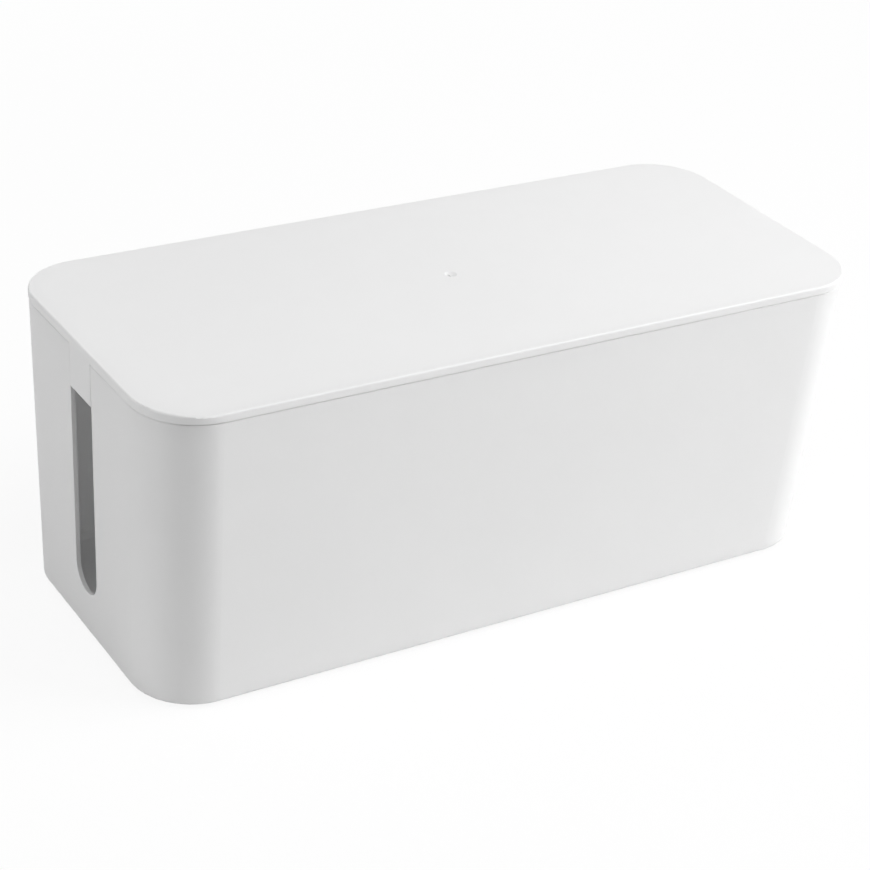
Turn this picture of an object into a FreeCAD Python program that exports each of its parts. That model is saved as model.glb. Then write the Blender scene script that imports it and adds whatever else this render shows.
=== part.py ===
"""Cable management box: a tapered tray with a cable slot in each end, a lift-off lid and four feet.

Millimetres, +Z up. X runs along the box and the front faces -Y. The origin is under the middle of the
box, on the surface that it stands on. A tongue on each end of the lid drops into the slot and closes its
upper part.
"""
import FreeCAD, Part
import Sketcher

import math
import os

V = FreeCAD.Vector

# Driving sizes: name, value, meaning
SIZES = [
    ("lid_length", 320.0, "lid, end to end"),
    ("lid_width", 137.0, "lid, front to back"),
    ("body_height", 127.0, "underside of the tray to the top of the lid"),
    ("tray_corner_radius", 25.3, "plan radius of the tray's corners, the same all the way down"),
    ("wall_lean", 3.7, "how far each wall of the tray leans in from the rim to the underside"),
    ("wall_thickness", 1.8, "walls of the tray"),
    ("floor_thickness", 2.0, "floor of the tray"),
    ("rim_edge_radius", 0.8, "rounding of the tray's outer edge along the rim"),
    ("underside_edge_radius", 1.5, "rounding of the tray's bottom edge"),
    ("inside_edge_radius", 2.5, "rounding inside the tray, between floor and walls"),
    ("slot_width", 19.0, "cable slot, side to side"),
    ("slot_bottom", 18.5, "tray's underside to the lowest point of the slot"),
    ("slot_edge_radius", 0.25, "rounding of the tray's edges round a slot, where they meet the outside"),
    ("lid_overhang", 0.25, "how far the lid stands proud of the tray's rim all round"),
    ("lid_rim_height", 3.5, "edge of the lid, from the parting line to the top"),
    ("lid_top_thickness", 2.0, "flat top of the lid"),
    ("lid_edge_radius", 0.8, "rounding of the lid's top edge"),
    ("lid_under_radius", 0.4, "rounding of the lid's lower outer edge, which opens the parting line"),
    ("rib_depth", 5.0, "rib under the lid that drops inside the tray's wall"),
    ("rib_thickness", 1.5, "thickness of that rib"),
    ("rib_gap", 0.4, "play between that rib and the tray's wall"),
    ("tongue_depth", 18.3, "tongue of the lid, from the parting line down"),
    ("tongue_gap", 0.15, "play between the tongue and each side of the slot"),
    ("tongue_bite", 0.4, "how far the tongue sinks into the rib and the lid's plate, so that all are one"),
    ("tongue_end_radius", 0.4, "rounding of the tongue's lower outer edge"),
    ("gate_radius", 2.5, "dimple left round a moulding gate"),
    ("gate_depth", 0.85, "depth of that dimple"),
    ("gate_stub_radius", 0.8, "stub of plastic in the middle of the dimple"),
    ("gate_stub_height", 0.5, "height of that stub"),
    ("ejector_radius", 4.0, "round mark that an ejector pin leaves in the tray's floor"),
    ("ejector_depth", 0.15, "depth of such a mark"),
    ("ejector_pitch", 92.0, "ejector marks, spacing along the box"),
    ("ejector_row", 33.0, "ejector marks, from the middle line to each row"),
    ("foot_radius", 6.0, "rubber foot"),
    ("foot_thickness", 1.8, "rubber foot, without its adhesive disc"),
    ("foot_edge_radius", 0.5, "rounding of the foot's lower edge"),
    ("foot_inset", 20.0, "middle of a foot from the two nearest sides of the tray's underside"),
    ("tape_thickness", 0.2, "adhesive disc between a foot and the tray"),
    ("tape_inset", 0.3, "how much smaller in radius the adhesive disc is than the foot"),
    ("seat_depth", 0.5, "seat for a foot, sunk in the tray's underside"),
    ("seat_gap", 0.3, "play round a foot in its seat"),
    ("overrun", 1.0, "how far a cut runs past what it cuts"),
]

# Sizes worked out from the driving ones
WORKED_OUT = [
    ("foot_proud", "foot_thickness + tape_thickness - seat_depth"),
    ("tray_height", "body_height - lid_rim_height"),
    ("rim_level", "foot_proud + tray_height"),
    ("top_level", "foot_proud + body_height"),
    ("lean_per_rise", "wall_lean / tray_height"),
    ("lean_angle", "atan(lean_per_rise)"),
    ("rim_length", "lid_length - 2 * lid_overhang"),
    ("rim_width", "lid_width - 2 * lid_overhang"),
    ("lid_corner_radius", "tray_corner_radius + lid_overhang"),
    ("rib_inset", "wall_thickness + rib_gap"),
    ("tongue_thickness", "rib_inset + tongue_bite"),
    ("gate_ball_radius", "(gate_radius ^ 2 + gate_depth ^ 2) / (2 * gate_depth)"),
    ("foot_x", "rim_length / 2 - wall_lean - foot_inset"),
    ("foot_y", "rim_width / 2 - wall_lean - foot_inset"),
]

# Edges are told apart by a few points along each; points this close to a level or a wall count as on it
SAMPLES = 5
TOLERANCE = 1e-3

FEET = {"front_left": (-1, -1), "front_right": (1, -1), "rear_left": (-1, 1), "rear_right": (1, 1)}


def make_sheet(doc):
    """Fills the sheet with the driving sizes, then with the formulas that use them."""
    sheet = doc.addObject("Spreadsheet::Sheet", "sizes")
    rows = [(alias, str(value), meaning) for alias, value, meaning in SIZES]
    rows += [(alias, "=" + formula, "worked out") for alias, formula in WORKED_OUT]
    for row, (alias, content, meaning) in enumerate(rows, start=1):
        sheet.set(f"A{row}", meaning)
        sheet.set(f"B{row}", content)
        sheet.setAlias(f"B{row}", alias)
    doc.recompute()
    return sheet


def new_body(doc, label):
    body = doc.addObject("PartDesign::Body", label)
    body.Label = label
    return body


def origin_plane(body, role):
    """The body's own XY_Plane, XZ_Plane or YZ_Plane."""
    return next(feature for feature in body.Origin.OriginFeatures if feature.Role == role)


def new_sketch(body, name, role="XY_Plane", offset=None):
    """A sketch on one of the body's origin planes, moved along the plane's normal by a formula."""
    sketch = body.newObject("Sketcher::SketchObject", name)
    sketch.AttachmentSupport = [(origin_plane(body, role), "")]
    sketch.MapMode = "FlatFace"
    if offset:
        sketch.setExpression("AttachmentOffset.Base.z", offset)
    return sketch


def size_of(sketch, formula):
    """The value of a formula of the sheet's cells, for the first guess that a constraint then holds."""
    return float(sketch.evalExpression(formula))


def hold(sketch, name, formula, kind, *where):
    """Adds a dimension of the given kind, names it and ties it to a formula."""
    index = sketch.addConstraint(Sketcher.Constraint(kind, *where, size_of(sketch, formula)))
    sketch.renameConstraint(index, name)
    sketch.setExpression(f"Constraints.{name}", formula)


def add_line(sketch, start, end):
    return sketch.addGeometry(Part.LineSegment(V(*start, 0), V(*end, 0)), False)


def add_arc(sketch, centre, radius, start, end):
    """An arc drawn anticlockwise between two angles in degrees."""
    circle = Part.Circle(V(*centre, 0), V(0, 0, 1), radius)
    return sketch.addGeometry(Part.ArcOfCircle(circle, math.radians(start), math.radians(end)), False)


def rounded_rectangle(sketch, length, width, radius):
    """A centred rectangle with round corners; its three sizes are formulas."""
    radius_now = size_of(sketch, radius)
    half_length = size_of(sketch, length) / 2
    half_width = size_of(sketch, width) / 2
    across = half_length - radius_now
    up = half_width - radius_now
    sides = [
        ((-across, -half_width), (across, -half_width)),
        ((half_length, -up), (half_length, up)),
        ((across, half_width), (-across, half_width)),
        ((-half_length, up), (-half_length, -up)),
    ]
    corners = [((across, -up), -90), ((across, up), 0), ((-across, up), 90), ((-across, -up), 180)]
    lines = []
    arcs = []
    for side, (centre, start) in zip(sides, corners):
        lines.append(add_line(sketch, *side))
        arcs.append(add_arc(sketch, centre, radius_now, start, start + 90))
    for index in range(4):
        sketch.addConstraint(Sketcher.Constraint("Tangent", lines[index], 2, arcs[index], 1))
        sketch.addConstraint(Sketcher.Constraint("Tangent", arcs[index], 2, lines[(index + 1) % 4], 1))
    for index in range(0, 4, 2):
        sketch.addConstraint(Sketcher.Constraint("Horizontal", lines[index]))
        sketch.addConstraint(Sketcher.Constraint("Vertical", lines[index + 1]))
    for arc in arcs[1:]:
        sketch.addConstraint(Sketcher.Constraint("Equal", arcs[0], arc))
    sketch.addConstraint(Sketcher.Constraint("Symmetric", arcs[0], 3, arcs[2], 3, -1, 1))
    hold(sketch, "length", length, "DistanceX", lines[3], 1, lines[1], 1)
    hold(sketch, "width", width, "DistanceY", lines[0], 1, lines[2], 1)
    hold(sketch, "radius", radius, "Radius", arcs[0])


def wall_outline(body, name, level, inset, drop):
    """The tray's wall seen from above at a level, moved inwards by inset; drop is how far below the rim."""
    sketch = new_sketch(body, name, offset=level)
    inwards = f"({inset} + sizes.lean_per_rise * ({drop}))"
    length = f"sizes.rim_length - 2 * {inwards}"
    width = f"sizes.rim_width - 2 * {inwards}"
    rounded_rectangle(sketch, length, width, f"sizes.tray_corner_radius - ({inset})")
    return sketch


def loft(body, name, kind, profile, section):
    feature = body.newObject(f"PartDesign::{kind}Loft", name)
    feature.Profile = profile
    feature.Sections = [section]
    feature.Ruled = True
    return feature


def circles(sketch, radius, places):
    """Circles of one radius; each place is a pair of formulas for its centre."""
    radius_now = size_of(sketch, radius)
    for number, (along, across) in enumerate(places, start=1):
        centre = V(size_of(sketch, along), size_of(sketch, across), 0)
        circle = sketch.addGeometry(Part.Circle(centre, V(0, 0, 1), radius_now), False)
        hold(sketch, f"along_{number}", along, "DistanceX", -1, 1, circle, 3)
        hold(sketch, f"across_{number}", across, "DistanceY", -1, 1, circle, 3)
        hold(sketch, f"radius_{number}", radius, "Radius", circle)


def pocket(body, name, profile, length, reverse=False):
    """Cuts a sketch's outline by a length; it cuts against the sketch's normal unless reversed."""
    feature = body.newObject("PartDesign::Pocket", name)
    feature.Profile = profile
    feature.setExpression("Length", length)
    feature.Reversed = reverse
    return feature


def pad(body, name, profile, length, reverse=False):
    feature = body.newObject("PartDesign::Pad", name)
    feature.Profile = profile
    feature.setExpression("Length", length)
    feature.Reversed = reverse
    return feature


def fillet(doc, body, name, radius, wanted):
    """Rounds the edges of the body's last feature that pass a test."""
    doc.recompute()
    base = body.Tip
    names = [f"Edge{number}" for number, edge in enumerate(base.Shape.Edges, start=1) if wanted(edge)]
    if not names:
        raise RuntimeError(f"{body.Label}: no edge found for {name}")
    feature = body.newObject("PartDesign::Fillet", name)
    feature.Base = (base, names)
    feature.setExpression("Radius", radius)
    return feature


def lies_at(edge, level):
    """True for an edge that lies flat at a height."""
    return all(abs(point.z - level) < TOLERANCE for point in edge.discretize(SAMPLES))


def slot_outline(body, name, width, depth, rise, round_end):
    """The outline of a slot or tongue, seen along X: two upright sides, with a half circle or a square end.

    The sizes are formulas, and the sketch's origin is at the rim. depth runs down from there to the end,
    and rise is how far the outline runs on above the rim.
    """
    sketch = new_sketch(body, name, "YZ_Plane")
    sketch.setExpression("AttachmentOffset.Base.y", "sizes.rim_level")
    half = size_of(sketch, width) / 2
    crest = size_of(sketch, rise)
    side_depth = f"{depth} - ({width}) / 2" if round_end else depth
    end = -size_of(sketch, side_depth)
    left = add_line(sketch, (-half, crest), (-half, end))
    right = add_line(sketch, (half, end), (half, crest))
    over = add_line(sketch, (half, crest), (-half, crest))
    rules = [
        ("Coincident", right, 2, over, 1),
        ("Coincident", over, 2, left, 1),
        ("Vertical", left),
        ("Horizontal", over),
        ("Symmetric", left, 2, right, 1, -2),
    ]
    if round_end:
        closing = add_arc(sketch, (0, end), half, 180, 360)
        rules += [("Tangent", left, 2, closing, 1), ("Tangent", closing, 2, right, 1)]
    else:
        closing = add_line(sketch, (-half, end), (half, end))
        rules += [("Coincident", left, 2, closing, 1), ("Coincident", closing, 2, right, 1)]
        rules += [("Vertical", right)]
    for rule in rules:
        sketch.addConstraint(Sketcher.Constraint(*rule))
    hold(sketch, "width", width, "DistanceX", left, 2, right, 1)
    hold(sketch, "rise", rise, "DistanceY", -1, 1, left, 1)
    hold(sketch, "side_depth", side_depth, "DistanceY", left, 2, -1, 1)
    return sketch


def off_wall(sheet, point):
    """How far a point lies outside the tray's outer wall, seen from above; 0 on the wall."""
    inwards = sheet.lean_per_rise * (sheet.rim_level - point.z)
    across = abs(point.x) - (sheet.rim_length / 2 - inwards - sheet.tray_corner_radius)
    up = abs(point.y) - (sheet.rim_width / 2 - inwards - sheet.tray_corner_radius)
    return math.hypot(max(across, 0), max(up, 0)) + min(max(across, up), 0) - sheet.tray_corner_radius


def on_wall(sheet, edge):
    """True for an edge that lies on the tray's outer wall, or on a tongue's face, which carries it on."""
    return all(abs(off_wall(sheet, point)) < TOLERANCE for point in edge.discretize(SAMPLES))


def is_outer_rim(sheet, edge):
    return on_wall(sheet, edge) and lies_at(edge, sheet.rim_level)


def is_slot_edge(sheet, edge):
    """True for an edge of a slot, on the outside of the wall."""
    reach = max(abs(point.y) for point in edge.discretize(SAMPLES))
    return on_wall(sheet, edge) and reach < sheet.slot_width / 2 + TOLERANCE


def is_tongue_end(sheet, edge):
    """True for the lower outer edge of a tongue."""
    high = max(point.z for point in edge.discretize(SAMPLES))
    return on_wall(sheet, edge) and high < sheet.rim_level - sheet.tongue_depth / 2


def gate_mark(body, level, side):
    """A round dimple with a stub in it, where the mould was filled; side is 1 on a face that looks up."""
    dimple = body.newObject("PartDesign::SubtractiveSphere", "gate_dimple")
    dimple.setExpression("Radius", "sizes.gate_ball_radius")
    centre = f"{level} + {side} * (sizes.gate_ball_radius - sizes.gate_depth)"
    dimple.setExpression("Placement.Base.z", centre)
    stub = body.newObject("PartDesign::AdditiveCylinder", "gate_stub")
    stub.setExpression("Radius", "sizes.gate_stub_radius")
    stub.setExpression("Height", "2 * sizes.gate_stub_height")
    stub.setExpression("Placement.Base.z", f"{level} - {side} * sizes.gate_depth - sizes.gate_stub_height")


def make_tray(doc, sheet):
    """The tray: four leaning walls and a floor, a slot in each end, seats for the feet underneath."""
    body = new_body(doc, "tray")
    underside = wall_outline(body, "underside_outline", "sizes.foot_proud", "0", "sizes.tray_height")
    rim = wall_outline(body, "rim_outline", "sizes.rim_level", "0", "0")
    loft(body, "block", "Additive", underside, rim)

    floor = wall_outline(body, "floor_outline", "sizes.foot_proud + sizes.floor_thickness",
                         "sizes.wall_thickness", "sizes.tray_height - sizes.floor_thickness")
    mouth = wall_outline(body, "mouth_outline", "sizes.rim_level + sizes.overrun",
                         "sizes.wall_thickness", "0 - sizes.overrun")
    loft(body, "hollow", "Subtractive", floor, mouth)
    floor_level = sheet.foot_proud + sheet.floor_thickness
    fillet(doc, body, "inside_edge", "sizes.inside_edge_radius", lambda edge: lies_at(edge, floor_level))
    fillet(doc, body, "underside_edge", "sizes.underside_edge_radius",
           lambda edge: lies_at(edge, sheet.foot_proud))

    slot = slot_outline(body, "slot_outline", "sizes.slot_width",
                        "sizes.tray_height - sizes.slot_bottom", "sizes.overrun", round_end=True)
    slots = pocket(body, "slots", slot, "sizes.rim_length + 2 * sizes.overrun")
    slots.SideType = "Symmetric"

    seats = new_sketch(body, "seat_outlines", offset="sizes.foot_proud")
    places = [(f"{along} * sizes.foot_x", f"{across} * sizes.foot_y") for along, across in FEET.values()]
    circles(seats, "sizes.foot_radius + sizes.seat_gap", places)
    pocket(body, "foot_seats", seats, "sizes.seat_depth", reverse=True)

    marks = new_sketch(body, "ejector_outlines", offset="sizes.foot_proud + sizes.floor_thickness")
    places = [(f"{column} * sizes.ejector_pitch", f"{row} * sizes.ejector_row")
              for column in (-1, 0, 1) for row in (-1, 1)]
    circles(marks, "sizes.ejector_radius", places)
    pocket(body, "ejector_marks", marks, "sizes.ejector_depth")
    gate_mark(body, "sizes.foot_proud", -1)
    fillet(doc, body, "rim_edge", "sizes.rim_edge_radius", lambda edge: is_outer_rim(sheet, edge))
    fillet(doc, body, "slot_edge", "sizes.slot_edge_radius", lambda edge: is_slot_edge(sheet, edge))


def make_lid(doc, sheet):
    """The lid: a plate with rounded edges, a rib that drops inside the tray and a tongue at each end."""
    body = new_body(doc, "lid")
    outline = new_sketch(body, "lid_outline", offset="sizes.rim_level")
    rounded_rectangle(outline, "sizes.lid_length", "sizes.lid_width", "sizes.lid_corner_radius")
    pad(body, "plate", outline, "sizes.lid_rim_height")
    fillet(doc, body, "top_edge", "sizes.lid_edge_radius", lambda edge: lies_at(edge, sheet.top_level))
    fillet(doc, body, "under_edge", "sizes.lid_under_radius", lambda edge: lies_at(edge, sheet.rim_level))

    rib_foot = wall_outline(body, "rib_foot_outline", "sizes.rim_level - sizes.rib_depth",
                            "sizes.rib_inset", "sizes.rib_depth")
    rib_head = wall_outline(body, "rib_head_outline", "sizes.rim_level", "sizes.rib_inset", "0")
    loft(body, "rib", "Additive", rib_foot, rib_head)

    tongue = slot_outline(body, "tongue_outline", "sizes.slot_width - 2 * sizes.tongue_gap",
                          "sizes.tongue_depth", "sizes.tongue_bite", round_end=False)
    tongue.AttachmentOffset = FreeCAD.Placement(V(), FreeCAD.Rotation(V(1, 0, 0), sheet.lean_angle))
    tongue.setExpression("AttachmentOffset.Base.z", "sizes.rim_length / 2")
    tongue.setExpression("AttachmentOffset.Rotation.Angle", "sizes.lean_angle")
    right_tongue = pad(body, "right_tongue", tongue, "sizes.tongue_thickness", reverse=True)
    left_tongue = body.newObject("PartDesign::Mirrored", "left_tongue")
    left_tongue.Originals = [right_tongue]
    left_tongue.MirrorPlane = (origin_plane(body, "YZ_Plane"), [""])
    body.Tip = left_tongue
    fillet(doc, body, "tongue_end", "sizes.tongue_end_radius", lambda edge: is_tongue_end(sheet, edge))

    inset = "sizes.rib_inset + sizes.rib_thickness"
    below = wall_outline(body, "recess_foot_outline", "sizes.rim_level - sizes.rib_depth - sizes.overrun",
                         inset, "sizes.rib_depth + sizes.overrun")
    roof = wall_outline(body, "recess_roof_outline", "sizes.top_level - sizes.lid_top_thickness",
                        inset, "sizes.lid_top_thickness - sizes.lid_rim_height")
    loft(body, "recess", "Subtractive", below, roof)
    gate_mark(body, "sizes.top_level", 1)


def make_feet(doc, sheet):
    """Four round rubber feet and the adhesive discs that hold them in their seats."""
    for corner, (along, across) in FEET.items():
        foot = new_body(doc, f"foot_{corner}")
        outline = new_sketch(foot, "foot_outline")
        circles(outline, "sizes.foot_radius", [("0", "0")])
        pad(foot, "pad", outline, "sizes.foot_thickness")
        fillet(doc, foot, "lower_edge", "sizes.foot_edge_radius", lambda edge: lies_at(edge, 0))
        tape = new_body(doc, f"foot_tape_{corner}")
        outline = new_sketch(tape, "tape_outline", offset="sizes.foot_thickness")
        circles(outline, "sizes.foot_radius - sizes.tape_inset", [("0", "0")])
        pad(tape, "disc", outline, "sizes.tape_thickness")
        for body in (foot, tape):
            body.setExpression("Placement.Base.x", f"{along} * sizes.foot_x")
            body.setExpression("Placement.Base.y", f"{across} * sizes.foot_y")


def check(doc):
    """Stops the build if an object failed, a feature changed nothing, or a body isn't one sound solid."""
    for item in doc.Objects:
        if {"Invalid", "Error"} & set(item.State):
            raise RuntimeError(f"{item.Label} failed: {item.State}")
        if item.isDerivedFrom("Sketcher::SketchObject") and not item.FullyConstrained:
            raise RuntimeError(f"{item.Label} isn't fully constrained")
        if item.isDerivedFrom("PartDesign::Feature") and item.BaseFeature:
            if abs(item.Shape.Volume - item.BaseFeature.Shape.Volume) < TOLERANCE:
                raise RuntimeError(f"{item.Label} changed nothing")
    for body in doc.findObjects("PartDesign::Body"):
        if body.Shape.isNull() or not body.Shape.isValid() or len(body.Shape.Solids) != 1:
            raise RuntimeError(f"{body.Label} isn't one sound solid")


def main():
    doc = FreeCAD.newDocument("cable_management_box")
    sheet = make_sheet(doc)
    make_tray(doc, sheet)
    make_lid(doc, sheet)
    make_feet(doc, sheet)
    doc.recompute()
    check(doc)
    os.makedirs("parts", exist_ok=True)
    for body in doc.findObjects("PartDesign::Body"):
        body.Shape.exportStep(f"parts/{body.Label}.step")


main()
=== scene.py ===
"""Cable management box: a satin white tray under a loose lid, on rubber feet."""
import math

import bpy
from mathutils import Matrix, Vector

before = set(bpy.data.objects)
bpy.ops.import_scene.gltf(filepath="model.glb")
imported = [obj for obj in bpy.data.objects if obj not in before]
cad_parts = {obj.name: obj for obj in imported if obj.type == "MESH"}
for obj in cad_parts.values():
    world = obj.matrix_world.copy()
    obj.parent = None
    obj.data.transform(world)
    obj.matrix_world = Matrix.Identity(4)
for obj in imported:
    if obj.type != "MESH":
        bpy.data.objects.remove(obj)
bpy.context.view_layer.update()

# All lengths are in metres and all angles in degrees

# Camera: where it stands round the box, how it is turned about its line of sight,
# what it looks at, and its lens and sensor in millimetres
CAMERA_AZIMUTH = -33.41
CAMERA_ELEVATION = 28.85
CAMERA_ROLL = 4.776
CAMERA_DISTANCE = 0.98793
CAMERA_AIM = Vector((0.0117, 0.01938, 0.04237))
CAMERA_LENS = 96.1
SENSOR_WIDTH = 36.0
NEAREST_SEEN = 0.01

# Lamps, in watts: name, azimuth, elevation, distance, width, height, power
LAMPS = (
    ("left_side", -105, 15, 2.8, 1.8, 1.4, 34.6),
    ("right_low", 60, 15, 2.8, 1.8, 1.4, 41.7),
    ("right_high", 60, 45, 1.4, 0.9, 0.7, 12.9),
    ("right_rear", 135, 15, 1.4, 0.9, 0.7, 2.8),
    ("rear", 180, 15, 1.4, 0.9, 0.7, 6.8),
    ("front_high", -20, 68, 1.3, 0.8, 0.8, 7.9),
)
LAMP_CENTRE = Vector((0, 0, 0.06))

# Light bounces that a thin-walled white box needs for an even glow inside
DIFFUSE_BOUNCES = 12
ALL_BOUNCES = 16

# Floor: its side, the grey that it is lit as, and how far the camera sees it as pure white
FLOOR_SIDE = 24
FLOOR_GREY = 0.8
FLOOR_WHITE_SHARE = 0.9

# Plastic: its colour, the share of light that comes through a wall, and its roughness
WHITE = (0.87, 0.87, 0.87)
GLOW_SHARE = 0.2
PLASTIC_ROUGHNESS = 0.5
CLOUD_ROUGHNESS = 0.05

# Plastic: the spark-eroded grain, the slow waves of the skin and the faint clouds in its tint
GRAIN_SIZE = 0.0006
GRAIN_HEIGHT = 0.00002
WAVE_SIZE = 0.09
WAVE_HEIGHT = 0.0004
CLOUD_SIZE = 0.012
WAVE_TINT = 0.55
CLOUD_TINT = 0.45
DEEPEST_TINT = 0.965

# Rubber of the feet
RUBBER_DARK = (0.055, 0.055, 0.056)
RUBBER_LIGHT = (0.085, 0.085, 0.087)
RUBBER_GRAIN_SIZE = 0.0008
RUBBER_GRAIN_HEIGHT = 0.00008
RUBBER_ROUGHNESS = 0.7
RUBBER_GRAIN_ROUGHNESS = 0.15

# Adhesive discs over the feet
FILM_DARK = (0.68, 0.66, 0.6)
FILM_LIGHT = (0.78, 0.77, 0.72)
FILM_SIZE = 0.002
FILM_HEIGHT = 0.00003
FILM_ROUGHNESS = 0.35
FILM_CLOUD_ROUGHNESS = 0.2


class Value:
    """A socket that carries a number. Sums and products of it add the Math nodes they need."""

    def __init__(self, finish, socket):
        self.finish = finish
        self.socket = socket

    def math(self, operation, first, second):
        node = self.finish.node("ShaderNodeMath", {"operation": operation}, {0: first, 1: second})
        return self.finish.value(node, "Value")

    def __add__(self, other):
        return self.math("ADD", self, other)

    def __radd__(self, other):
        return self.math("ADD", other, self)

    def __rmul__(self, other):
        return self.math("MULTIPLY", other, self)


class Finish:
    """A procedural material, built node by node."""

    def __init__(self, name):
        self.material = bpy.data.materials.new(name)
        self.material.use_nodes = True
        self.tree = self.material.node_tree
        self.tree.nodes.clear()
        self.place = self.node("ShaderNodeTexCoord").outputs["Object"]

    def node(self, kind, settings=None, sockets=None):
        """Adds a node, sets its own settings, then fills its sockets with values, or links them."""
        node = self.tree.nodes.new(kind)
        for key, setting in (settings or {}).items():
            setattr(node, key, setting)
        for key, content in (sockets or {}).items():
            source = content.socket if isinstance(content, Value) else content
            if isinstance(source, bpy.types.NodeSocket):
                self.tree.links.new(source, node.inputs[key])
            else:
                node.inputs[key].default_value = source
        return node

    def value(self, node, output):
        return Value(self, node.outputs[output])

    def noise(self, size, detail=2.0, roughness=0.5):
        """Cloudy noise from 0 to 1, whose blobs are about that size across."""
        sockets = {"Vector": self.place, "Scale": 1 / size, "Detail": detail, "Roughness": roughness}
        return self.value(self.node("ShaderNodeTexNoise", None, sockets), "Fac")

    def mix(self, factor, first, second):
        """A colour between two others."""
        node = self.node("ShaderNodeMix", {"data_type": "RGBA"}, {"Factor": factor})
        for socket, colour in zip(node.inputs[6:8], (first, second)):
            socket.default_value = (*colour, 1.0)
        return node.outputs[2]

    def blend(self, factor, first, second):
        """A shader between two others."""
        return self.node("ShaderNodeMixShader", None, {"Fac": factor, 1: first, 2: second}).outputs[0]

    def bump(self, height, distance, below=None):
        """A normal bent by a height field; distance is the real height of 1."""
        sockets = {"Height": height, "Distance": distance, "Strength": 1.0}
        if below is not None:
            sockets["Normal"] = below
        return self.node("ShaderNodeBump", None, sockets).outputs["Normal"]

    def surface(self, glow=None, **sockets):
        """The shader itself. A socket's name is written with _ for a space.
        A glow is the colour of the light that comes through from the other side."""
        named = {name.replace("_", " "): content for name, content in sockets.items()}
        shader = self.node("ShaderNodeBsdfPrincipled", None, named).outputs["BSDF"]
        if glow is not None:
            through = self.node("ShaderNodeBsdfTranslucent", None, {"Color": (*glow, 1.0)})
            shader = self.blend(GLOW_SHARE, shader, through.outputs["BSDF"])
        return self.output(shader)

    def output(self, shader):
        self.node("ShaderNodeOutputMaterial", None, {"Surface": shader})
        return self.material


def moulded_plastic(name, colour):
    """Satin injection moulding: an even spark-eroded grain, and a skin that is never quite flat."""
    finish = Finish(name)
    grain = finish.noise(GRAIN_SIZE, detail=3.0)
    wave = finish.noise(WAVE_SIZE, detail=1.0)
    cloud = finish.noise(CLOUD_SIZE)
    deeper = tuple(DEEPEST_TINT * channel for channel in colour)
    tint = finish.mix(WAVE_TINT * wave + CLOUD_TINT * cloud, deeper, colour)
    skin = finish.bump(wave, WAVE_HEIGHT)
    skin = finish.bump(grain, GRAIN_HEIGHT, skin)
    rough = PLASTIC_ROUGHNESS + CLOUD_ROUGHNESS * cloud
    return finish.surface(glow=colour, Base_Color=tint, Roughness=rough, Normal=skin)


def foot_rubber():
    finish = Finish("foot_rubber")
    grain = finish.noise(RUBBER_GRAIN_SIZE, detail=4.0)
    tint = finish.mix(grain, RUBBER_DARK, RUBBER_LIGHT)
    rough = RUBBER_ROUGHNESS + RUBBER_GRAIN_ROUGHNESS * grain
    skin = finish.bump(grain, RUBBER_GRAIN_HEIGHT)
    return finish.surface(Base_Color=tint, Roughness=rough, Normal=skin)


def foot_adhesive():
    finish = Finish("foot_adhesive")
    film = finish.noise(FILM_SIZE)
    tint = finish.mix(film, FILM_DARK, FILM_LIGHT)
    rough = FILM_ROUGHNESS + FILM_CLOUD_ROUGHNESS * film
    skin = finish.bump(film, FILM_HEIGHT)
    return finish.surface(Base_Color=tint, Roughness=rough, Normal=skin)


def white_paper():
    """Paper that is lit as pale grey, and that the camera sees as almost pure white."""
    paper = Finish("white_paper")
    grey = (FLOOR_GREY, FLOOR_GREY, FLOOR_GREY, 1.0)
    shade = paper.node("ShaderNodeBsdfDiffuse", None, {"Color": grey}).outputs[0]
    plain = {"Color": (1.0, 1.0, 1.0, 1.0), "Strength": 1.0}
    white = paper.node("ShaderNodeEmission", None, plain).outputs[0]
    seen = paper.value(paper.node("ShaderNodeLightPath"), "Is Camera Ray")
    return paper.output(paper.blend(FLOOR_WHITE_SHARE * seen, shade, white))


def dress(node, material):
    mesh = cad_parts[node].data
    mesh.materials.clear()
    mesh.materials.append(material)


def direction(azimuth, elevation):
    """The unit vector from the box towards a viewpoint; azimuth 0 is in front, 90 is to the right."""
    turn = math.radians(azimuth)
    rise = math.radians(elevation)
    level = math.cos(rise)
    return Vector((math.sin(turn) * level, -math.cos(turn) * level, math.sin(rise)))


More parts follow.
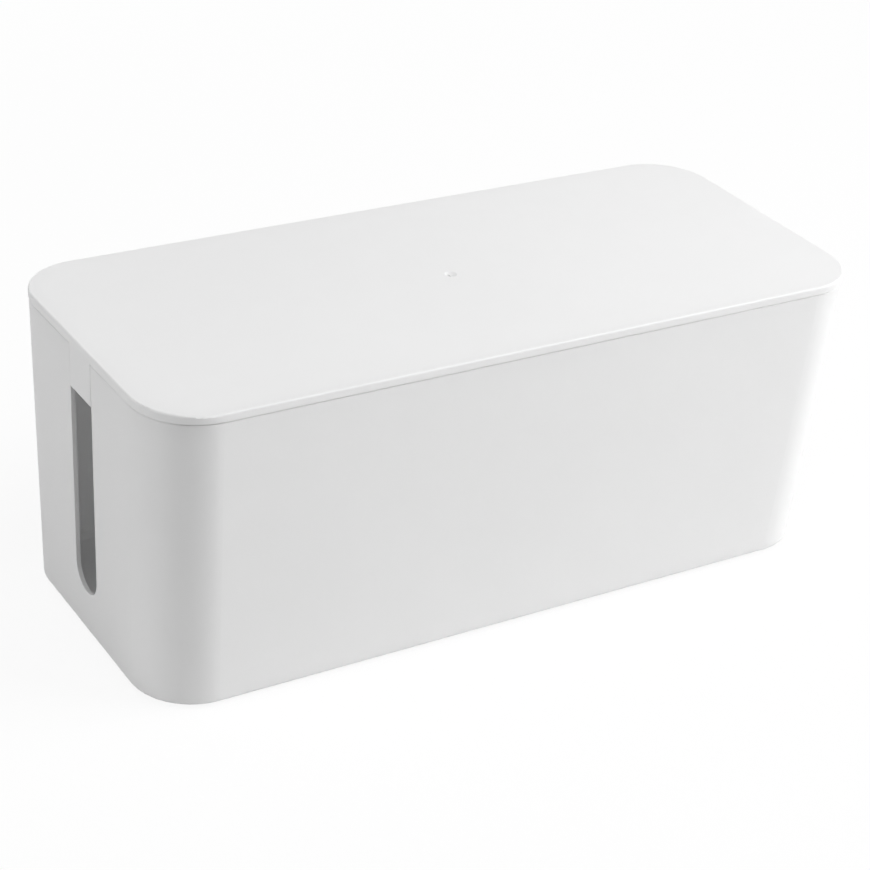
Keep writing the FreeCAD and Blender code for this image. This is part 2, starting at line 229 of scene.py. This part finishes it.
def place_camera():
    back = direction(CAMERA_AZIMUTH, CAMERA_ELEVATION)
    level = back.cross(Vector((0, 0, -1))).normalized()
    rise = back.cross(level)
    roll = math.radians(CAMERA_ROLL)
    right = math.cos(roll) * level + math.sin(roll) * rise
    up = math.cos(roll) * rise - math.sin(roll) * level
    data = bpy.data.cameras.new("camera")
    data.sensor_width = SENSOR_WIDTH
    data.lens = CAMERA_LENS
    data.clip_start = NEAREST_SEEN
    camera = bpy.data.objects.new("camera", data)
    bpy.context.scene.collection.objects.link(camera)
    turned = Matrix((right, up, back)).transposed().to_4x4()
    camera.matrix_world = Matrix.Translation(CAMERA_AIM + CAMERA_DISTANCE * back) @ turned
    bpy.context.scene.camera = camera


def soft_lamp(name, azimuth, elevation, distance, width, height, power):
    data = bpy.data.lights.new(name, "AREA")
    data.shape = "RECTANGLE"
    data.size = width
    data.size_y = height
    data.energy = power
    lamp = bpy.data.objects.new(name, data)
    bpy.context.scene.collection.objects.link(lamp)
    towards = direction(azimuth, elevation)
    lamp.location = towards * distance + LAMP_CENTRE
    lamp.rotation_euler = towards.to_track_quat("Z", "Y").to_euler()


def studio():
    """A pale floor that goes on past the picture's edge, and soft lamps in a dark room."""
    bpy.ops.object.select_all(action="DESELECT")
    bpy.ops.mesh.primitive_plane_add(size=FLOOR_SIDE)
    floor = bpy.context.object
    floor.name = "floor"
    floor.data.materials.append(white_paper())
    world = bpy.data.worlds.new("studio")
    world.use_nodes = True
    world.node_tree.nodes["Background"].inputs["Strength"].default_value = 0.0
    bpy.context.scene.world = world
    for lamp in LAMPS:
        soft_lamp(*lamp)
    bpy.context.scene.cycles.diffuse_bounces = DIFFUSE_BOUNCES
    bpy.context.scene.cycles.max_bounces = ALL_BOUNCES
    bpy.context.scene.view_settings.view_transform = "Standard"


dress("tray", moulded_plastic("white_tray_plastic", WHITE))
dress("lid", moulded_plastic("white_lid_plastic", WHITE))
rubber = foot_rubber()
adhesive = foot_adhesive()
for corner in ("front_left", "front_right", "rear_left", "rear_right"):
    dress(f"foot_{corner}", rubber)
    dress(f"foot_tape_{corner}", adhesive)

place_camera()
studio()
